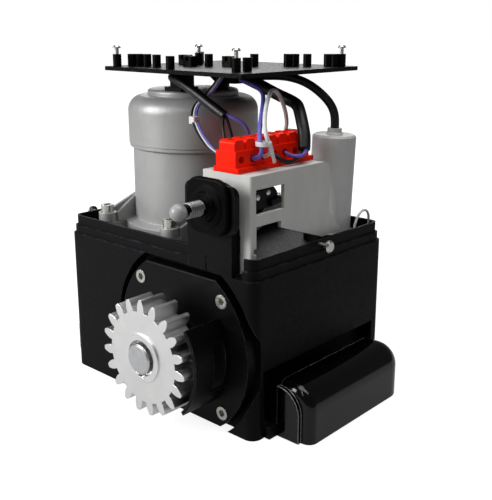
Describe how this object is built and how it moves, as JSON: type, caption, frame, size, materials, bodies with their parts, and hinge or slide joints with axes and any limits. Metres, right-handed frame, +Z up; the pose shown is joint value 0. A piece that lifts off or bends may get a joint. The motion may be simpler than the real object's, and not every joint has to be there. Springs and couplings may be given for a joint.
{
  "type": "sliding gate motor",
  "caption": "Rack-drive motor for a sliding gate with its cover off: tub housing, worm gear, pinion, upright motor, spring-lever limit switch, terminals and board carrier.",
  "frame": {"origin": "middle of the housing's foot plane", "axes": "+Z up, +X along the gate to the side of the limit switch, -Y towards the rack"},
  "size_m": [0.2654, 0.1964, 0.2642],
  "materials": {
    "housing_black": "black stove paint, fine texture",
    "foot_plastic": "gloss black moulding",
    "flange_grey": "dark grey paint",
    "gear_steel": "machined, zinc bright",
    "shaft_steel": "ground",
    "screw_zinc": "zinc plated",
    "motor_grey": "light grey paint, satin",
    "bronze": "machined bronze",
    "laminations": "stacked sheet",
    "copper": "varnished wire",
    "black_rubber": "matt",
    "bracket_grey": "fine matt moulding",
    "black_plastic": "satin moulding",
    "carrier_grey": "satin moulding",
    "terminal_orange": "smooth moulding",
    "capacitor_grey": "smooth plastic can",
    "ball_grey": "smooth",
    "cable_black": "satin sheath",
    "wire_blue": "satin sheath",
    "wire_white": "satin sheath",
    "tie_white": "translucent nylon"
  },
  "bodies": {
    "frame": {"blue_wire": "wire_blue", "board_carrier": "carrier_grey", "bundle_wires": "cable_black", "cable_grommet": "black_rubber", "cable_ties": "tie_white", "capacitor": "capacitor_grey", "capacitor_cable": "cable_black", "capacitor_clip": "black_plastic", "capacitor_gland": "black_plastic", "carrier_clips": "carrier_grey", "carrier_pillar": "black_plastic", "carrier_posts": "carrier_grey", "carrier_screws": "screw_zinc", "carrier_support": "black_plastic", "earth_wire": "wire_white", "flange_bolts": "screw_zinc", "foot_cover_left": "foot_plastic", "foot_cover_right": "foot_plastic", "front_bearing": "shaft_steel", "front_flange": "flange_grey", "gear_guard": "flange_grey", "gearbox_housing": "housing_black", "lever_pin": "shaft_steel", "lower_bearing": "shaft_steel", "microswitch_left": "black_plastic", "microswitch_right": "black_plastic", "motor_bolts": "screw_zinc", "motor_cable": "cable_black", "motor_casing": "motor_grey", "motor_end_cap": "motor_grey", "motor_wires": "cable_black", "rear_bearing": "shaft_steel", "rim_screw_left": "screw_zinc", "rim_screw_right": "screw_zinc", "shaft_seal": "black_rubber", "stator_core": "laminations", "supply_cable": "cable_black", "supply_wires": "cable_black", "switch_boot": "black_rubber", "switch_bracket": "bracket_grey", "switch_plate": "black_plastic", "tail_bearing": "shaft_steel", "terminal_block": "terminal_orange", "terminal_screws": "screw_zinc", "upper_bearing": "shaft_steel", "white_wire": "wire_white", "winding_lower": "copper", "winding_upper": "copper"},
    "rotor": {"motor_shaft": "shaft_steel", "worm": "shaft_steel", "rotor_core": "laminations"},
    "output": {"output_shaft": "shaft_steel", "pinion": "gear_steel", "pinion_key": "shaft_steel", "worm_wheel": "bronze"},
    "lever": {"lever_rocker": "black_plastic", "lever_spring": "screw_zinc", "lever_ball": "ball_grey"},
    "plunger_right_body": {"plunger_right": "ball_grey"},
    "plunger_left_body": {"plunger_left": "ball_grey"}
  },
  "joints": [
    {"name": "rotor_spin", "type": "hinge", "parent": "frame", "child": "rotor", "pos_m": [-0.033, 0, 0.1], "axis": [0, 0, 1], "continuous": true},
    {"name": "output_spin", "type": "hinge", "parent": "frame", "child": "output", "pos_m": [0.0315, 0, 0.056], "axis": [0, 1, 0], "continuous": true},
    {"name": "lever_swing", "type": "hinge", "parent": "frame", "child": "lever", "pos_m": [0.066, -0.0625, 0.164], "axis": [0, 0, 1], "range_deg": [-15, 15], "stiffness_Nm_per_rad": 0.3, "deforming": ["switch_boot"]},
    {"name": "plunger_right_travel", "type": "slide", "parent": "frame", "child": "plunger_right_body", "axis": [0, 1, 0], "range_m": [-0.00155, 0.00155]},
    {"name": "plunger_left_travel", "type": "slide", "parent": "frame", "child": "plunger_left_body", "axis": [0, 1, 0], "range_m": [-0.00155, 0.00155]}
  ],
  "couplings": [
    {"joint": "output_spin", "follows": "rotor_spin", "ratio": -0.032258},
    {"joint": "plunger_right_travel", "follows": "lever_swing", "m_per_rad": 0.0058},
    {"joint": "plunger_left_travel", "follows": "lever_swing", "m_per_rad": -0.0058}
  ]
}
